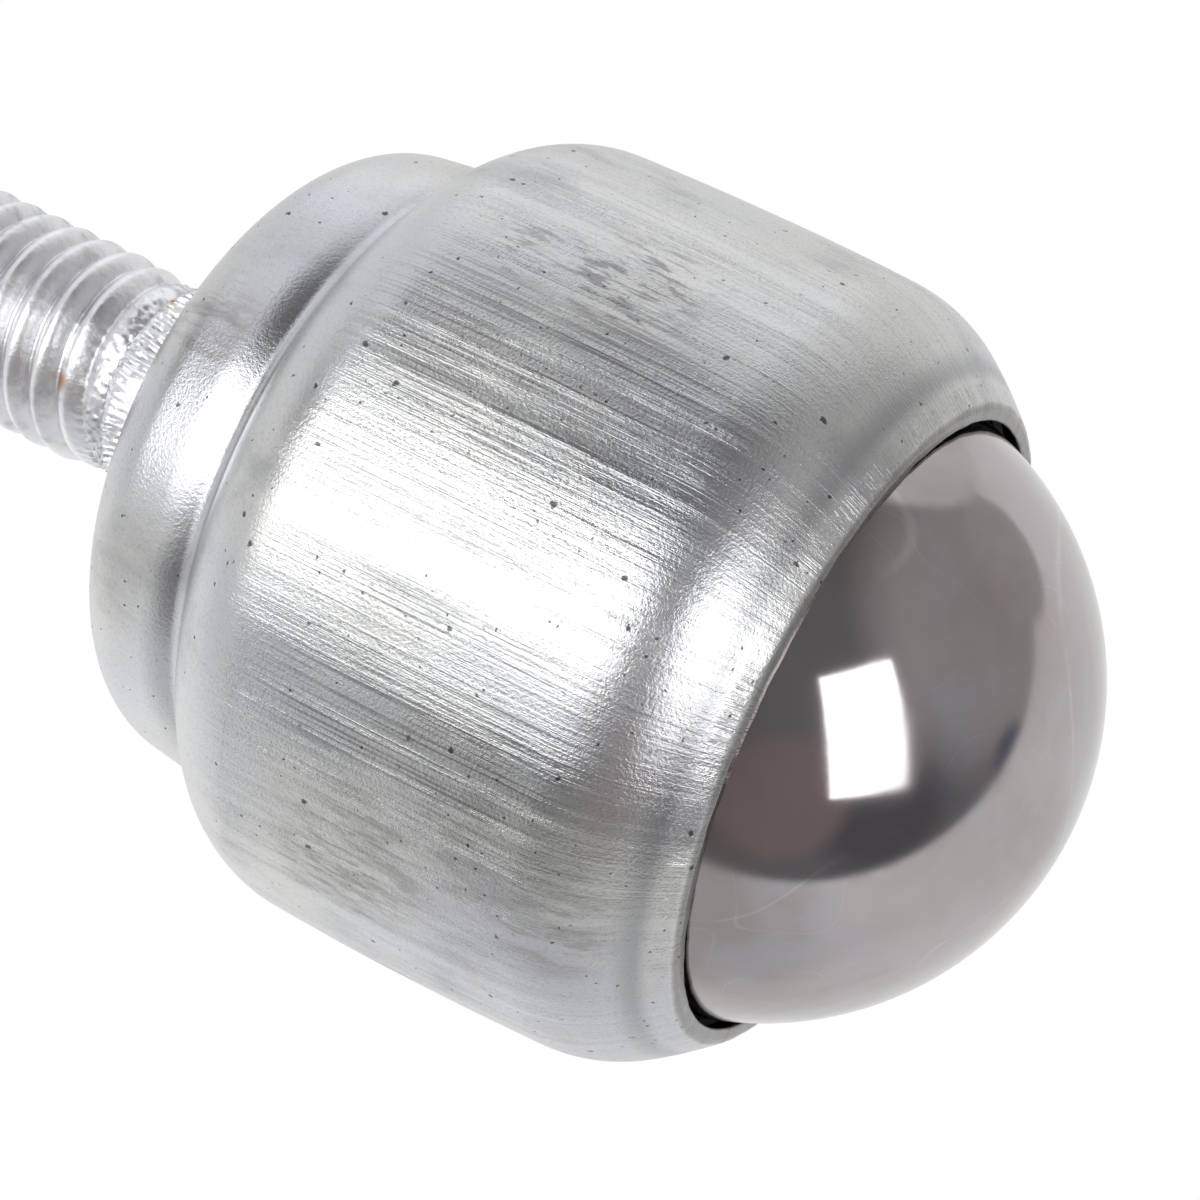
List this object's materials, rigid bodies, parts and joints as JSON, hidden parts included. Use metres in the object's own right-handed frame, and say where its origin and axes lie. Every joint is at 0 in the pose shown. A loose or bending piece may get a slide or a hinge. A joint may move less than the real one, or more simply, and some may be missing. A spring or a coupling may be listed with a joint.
{
  "type": "ball castor",
  "caption": "Ball transfer castor: a polished steel ball held in a pressed zinc-plated cup on a bed of small bearing balls, with a threaded stud for fixing.",
  "frame": {"origin": "on the stud's axis, in the flat back face of the shell that seats on the furniture", "axes": "+Z along the stud, away from the ball; the ball hangs at -Z; X and Y are free"},
  "size_m": [0.0282, 0.0282, 0.0561],
  "materials": {
    "shell_zinc": "zinc plated, brushed",
    "stud_zinc": "bright zinc",
    "cup_steel": "hardened, ground race",
    "ring_steel": "turned",
    "ball_steel": "polished",
    "roller_steel": "polished"
  },
  "bodies": {
    "housing": {"shell": "shell_zinc", "stud": "stud_zinc", "bearing_cup": "cup_steel", "retaining_ring": "ring_steel"},
    "bearing_set": {"bearing_ball_01": "roller_steel", "bearing_ball_02": "roller_steel", "bearing_ball_03": "roller_steel", "bearing_ball_04": "roller_steel", "bearing_ball_05": "roller_steel", "bearing_ball_06": "roller_steel", "bearing_ball_07": "roller_steel", "bearing_ball_08": "roller_steel", "bearing_ball_09": "roller_steel", "bearing_ball_10": "roller_steel", "bearing_ball_11": "roller_steel", "bearing_ball_12": "roller_steel", "bearing_ball_13": "roller_steel", "bearing_ball_14": "roller_steel", "bearing_ball_15": "roller_steel", "bearing_ball_16": "roller_steel", "bearing_ball_17": "roller_steel", "bearing_ball_18": "roller_steel", "bearing_ball_19": "roller_steel", "bearing_ball_20": "roller_steel", "bearing_ball_21": "roller_steel", "bearing_ball_22": "roller_steel", "bearing_ball_23": "roller_steel", "bearing_ball_24": "roller_steel", "bearing_ball_25": "roller_steel", "bearing_ball_26": "roller_steel", "bearing_ball_27": "roller_steel", "bearing_ball_28": "roller_steel", "bearing_ball_29": "roller_steel", "bearing_ball_30": "roller_steel", "bearing_ball_31": "roller_steel", "bearing_ball_32": "roller_steel", "bearing_ball_33": "roller_steel", "bearing_ball_34": "roller_steel", "bearing_ball_35": "roller_steel", "bearing_ball_36": "roller_steel"},
    "rolling_ball": {"load_ball": "ball_steel"}
  },
  "joints": [
    {"name": "ball_swivel", "type": "hinge", "parent": "housing", "child": "bearing_set", "pos_m": [0, 0, -0.01999], "axis": [0, 0, 1], "continuous": true},
    {"name": "ball_roll", "type": "hinge", "parent": "bearing_set", "child": "rolling_ball", "pos_m": [0, 0, -0.01999], "axis": [1, 0, 0], "continuous": true}
  ]
}
